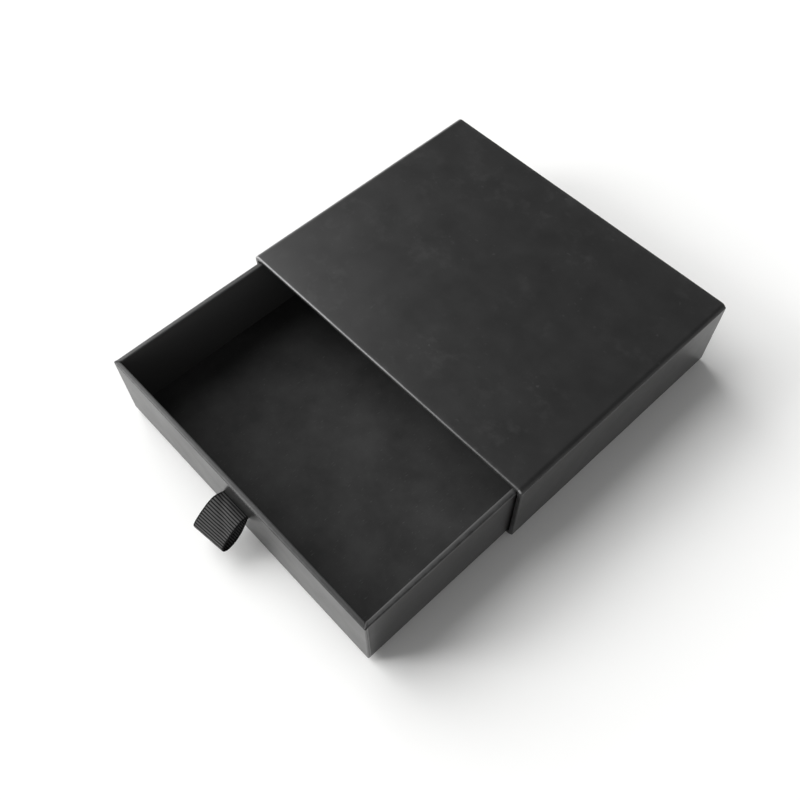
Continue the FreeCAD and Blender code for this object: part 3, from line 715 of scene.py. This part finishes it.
def makeRibbonPull():
    s = ribbonPull
    low, high = [np.array(corner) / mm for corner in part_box("ribbon_tails")]
    front = low[1]
    tailTop, tailFoot = high[2] - s["tailGap"], low[2] + s["tailGap"]
    bend, tailY = s["tailBend"], s["tailY"]
    upper, lower = s["slitZ"] + s["strandGap"], s["slitZ"] - s["strandGap"]
    # (y, z): straight tails, with the bend into the slit set by points at shares of its radius
    points = [(tailY, tailTop), (tailY, tailTop - 3.5), (tailY, upper + 3), (tailY, upper + bend * 2),
              (tailY - bend * 0.35, upper + bend * 0.35), (tailY - bend * 1.8, upper), (front, upper)]
    points += [(front - out, s["slitZ"] + rise) for out, rise in s["loop"]]
    points += [(front, lower), (tailY - bend * 1.8, lower), (tailY - bend * 0.35, lower - bend * 0.35),
               (tailY, lower - bend * 2), (tailY, lower - 3), (tailY, tailFoot + 3.5), (tailY, tailFoot)]
    line, reached = smoothLine(np.array(points), s["step"])
    tipRow = int(np.argmin(line[:, 0]))
    tangent = np.gradient(line, axis=0)
    tangent /= np.linalg.norm(tangent, axis=1, keepdims=True)
    across = np.stack([-tangent[:, 1], tangent[:, 0]], axis=1)  # towards the loop's inside
    # the section: along the top from one selvedge to the other, round it and back underneath
    ribs = np.sqrt(np.abs(np.sin(math.pi * reached / s["ribPitch"])))
    flat = s["width"] / 2 - s["edgeRound"]
    rim = flat + s["edgeReach"]
    inner = flat - s["threadInset"]
    top = np.concatenate([[-flat], np.linspace(-inner, inner, s["threadColumns"]), [flat]])
    widths = np.concatenate([top, [rim, rim], top[::-1], [-rim, -rim]])
    edge = [s["edgeSide"], -s["edgeSide"]]
    side = np.concatenate([np.ones(len(top)), edge, -np.ones(len(top)), edge[::-1]])
    inward = np.clip((flat + s["edgeRound"] - np.abs(widths)) / s["selvedge"], 0, 1)
    ribHere = ribs[:, None] * inward[None, :] ** 0.5
    groove = s["ribAtEdge"] + (1 - s["ribAtEdge"]) * inward[None, :]
    thick = s["thickness"] / 2 - s["ribDepth"] * (1 - ribHere) * groove
    drawnIn = (1 - inward[None, :]) * s["scallop"] * (ribs[:, None] - 1)
    x = widths[None, :] + np.sign(widths)[None, :] * drawnIn
    # a soft slanting fold across the upper strand: a dip of exp(-(d / width)^2) at d from its line
    out = reached - np.interp(front, line[:tipRow, 0][::-1], reached[:tipRow][::-1])
    start, end = np.array(s["foldFrom"]), np.array(s["foldTo"])
    foldLength = np.linalg.norm(end - start)
    run = (end - start) / foldLength
    awayX, awayOut = x - start[0], out[:, None] - start[1]
    along = np.clip(awayX * run[0] + awayOut * run[1], 0, foldLength)
    distance = np.hypot(awayX - along * run[0], awayOut - along * run[1])
    fadeIn = np.clip(out[:, None] / s["foldFade"], 0, 1)
    dip = s["foldDepth"] * np.exp(-(distance / s["foldWidth"]) ** 2) * fadeIn
    offset = side[None, :] * thick + dip
    y = line[:, :1] + across[:, :1] * offset
    # outside the slit the ribbon lies flatter and so wider, and its right side is pulled a little shorter
    beyond = (front - y).clip(0)
    y = y + beyond * s["skew"] * (1 + x / (s["width"] / 2))
    x = x * (1 + s["spread"] * np.clip(beyond / s["spreadWithin"], 0, 1))
    grid = np.stack([x, y, line[:, 1:] + across[:, 1:] * offset], axis=-1)
    piece = gridPiece("ribbonPull", grid, True, caps=("first", "last"), marks={
        "rib": ribHere, "across": np.broadcast_to(widths, ribHere.shape)})
    piece.data.shade_smooth()
    piece.data.materials.append(ribbonMaterial)
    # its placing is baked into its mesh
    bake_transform(piece)
    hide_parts("ribbon_loop", "ribbon_tails")
    print("ribbon cut length, mm:", round(reached[-1], 1))


makeSleevePaper()
makeSleeveBackSheet()
print("sleeve papers made")
makeDrawerPaper()
makeDrawerFloorLining()
print("drawer papers made")
makeRibbonPull()
print("ribbon made")


# Stage and camera.
stageSettings = {
    "floor": "#fbfbfa", "floorDrop": 0.02, "floorSize": 6000, "floorTooth": 0.8, "floorToothDepth": 0.02,
    "lamps": {
        "large, left": {"azimuth": 195, "elevation": 43.5, "strength": 2.8, "angle": 60},
        "small, front left": {"azimuth": 230, "elevation": 25, "strength": 1.1, "angle": 20},
        "low fill, front right": {"azimuth": 328, "elevation": 14, "strength": 0.12, "angle": 24},
    },
    "wall": 0.9, "wallTop": (0.1, 0.32), "ceiling": 0.19,
    "brightSide": (-0.8, -0.6, 0.0), "brightFrom": (0.0, 1.0), "brightLift": 0.5,
    "dimSide": (0.75, 0.66, 0.0), "dimFrom": (0.0, 0.6), "dimShare": 0.3, "dimAbove": (0.1, 0.2),
}
cameraSettings = {
    "azimuth": 47.286, "elevation": 58.530, "roll": -0.645, "distance": 380.65,
    "target": (0.49, -48.82, 0.0), "focalPixels": 902.72, "imagePixels": 800, "sensor": 36,
}


def makeCamera():
    s = cameraSettings
    azimuth, elevation, roll = [math.radians(s[key]) for key in ("azimuth", "elevation", "roll")]
    back = Vector((math.sin(azimuth) * math.cos(elevation), -math.cos(azimuth) * math.cos(elevation),
                   math.sin(elevation)))
    right = (-back).cross(Vector((0, 0, 1))).normalized()
    up = right.cross(-back)
    turnedRight = right * math.cos(roll) + up * math.sin(roll)
    turnedUp = up * math.cos(roll) - right * math.sin(roll)
    data = bpy.data.cameras.new("camera")
    data.sensor_width = s["sensor"]
    data.lens = s["focalPixels"] / s["imagePixels"] * s["sensor"]
    data.clip_start = 0.01
    camera = bpy.data.objects.new("camera", data)
    turn = Matrix((turnedRight, turnedUp, back)).transposed().to_4x4()
    place = (Vector(s["target"]) + back * s["distance"]) * mm
    camera.matrix_world = Matrix.Translation(place) @ turn
    bpy.context.scene.collection.objects.link(camera)
    bpy.context.scene.camera = camera


# The floor is a wide sheet of matt studio paper, nearly white, with a faint even tooth
def makeFloor():
    s = stageSettings
    material, tree, shader, place = startMaterial("studio paper")
    shader.inputs["Base Color"].default_value = hexColour(s["floor"])
    shader.inputs["Roughness"].default_value = 0.95
    shader.inputs["Specular IOR Level"].default_value = 0.2
    tooth = noiseOf(tree, place, s["floorTooth"], 3.0)
    bump = addNode(tree, "ShaderNodeBump", {"Height": tooth, "Distance": s["floorToothDepth"] * mm})
    tree.links.new(bump.outputs["Normal"], shader.inputs["Normal"])
    reach = s["floorSize"] / 2
    corners = np.array([[[-reach, -reach], [reach, -reach]], [[-reach, reach], [reach, reach]]], float)
    grid = np.concatenate([corners, np.full((2, 2, 1), -s["floorDrop"])], axis=2)
    floor = gridPiece("floor", grid, False)
    floor.data.materials.append(material)


# The lamps are large soft lights, given as suns with wide discs
def makeLamps():
    for name, lampSettings in stageSettings["lamps"].items():
        lamp = bpy.data.lights.new(name, "SUN")
        lamp.energy = lampSettings["strength"]
        lamp.angle = math.radians(lampSettings["angle"])
        source = bpy.data.objects.new(name, lamp)
        azimuth, elevation = [math.radians(lampSettings[key]) for key in ("azimuth", "elevation")]
        level = math.cos(elevation)
        towards = Vector((math.cos(azimuth) * level, math.sin(azimuth) * level, math.sin(elevation)))
        source.rotation_euler = towards.to_track_quat("Z", "Y").to_euler()
        bpy.context.scene.collection.objects.link(source)


# The room: pale low down all round, dimmer overhead, brighter overhead towards the lamps' side, and with
# dimmer walls at the right and the back
def makeRoom():
    s = stageSettings
    world = bpy.data.worlds.new("room")
    bpy.context.scene.world = world
    world.use_nodes = True
    tree = world.node_tree
    direction = addNode(tree, "ShaderNodeTexCoord").outputs["Generated"]
    height = addNode(tree, "ShaderNodeSeparateXYZ", {0: direction}).outputs["Z"]
    wall = addNode(tree, "ShaderNodeMapRange", {
        "Value": height, "From Min": s["wallTop"][0], "From Max": s["wallTop"][1],
        "To Min": s["wall"], "To Max": 0.0}, interpolation_type="SMOOTHSTEP").outputs["Result"]
    towards = [addNode(tree, "ShaderNodeVectorMath", {0: direction, 1: s[side]}, operation="DOT_PRODUCT")
               for side in ("dimSide", "brightSide")]
    dimming = between(tree, towards[0].outputs["Value"], *s["dimFrom"], 0.0, 1.0)
    above = between(tree, height, *s["dimAbove"], 0.0, 1.0)
    dimming = addNode(tree, "ShaderNodeMath", {0: dimming, 1: above}, operation="MULTIPLY").outputs[0]
    share = between(tree, dimming, 0.0, 1.0, 1.0, s["dimShare"])
    brightest = s["ceiling"] + s["brightLift"]
    lift = between(tree, towards[1].outputs["Value"], *s["brightFrom"], s["ceiling"], brightest)
    total = addNode(tree, "ShaderNodeMath", {0: wall, 1: share, 2: lift}, operation="MULTIPLY_ADD")
    background = tree.nodes["Background"]
    background.inputs["Color"].default_value = (1, 1, 1, 1)
    tree.links.new(total.outputs[0], background.inputs["Strength"])


makeCamera()
makeFloor()
makeLamps()
makeRoom()
bpy.context.scene.view_settings.view_transform = "Standard"
print("stage set")
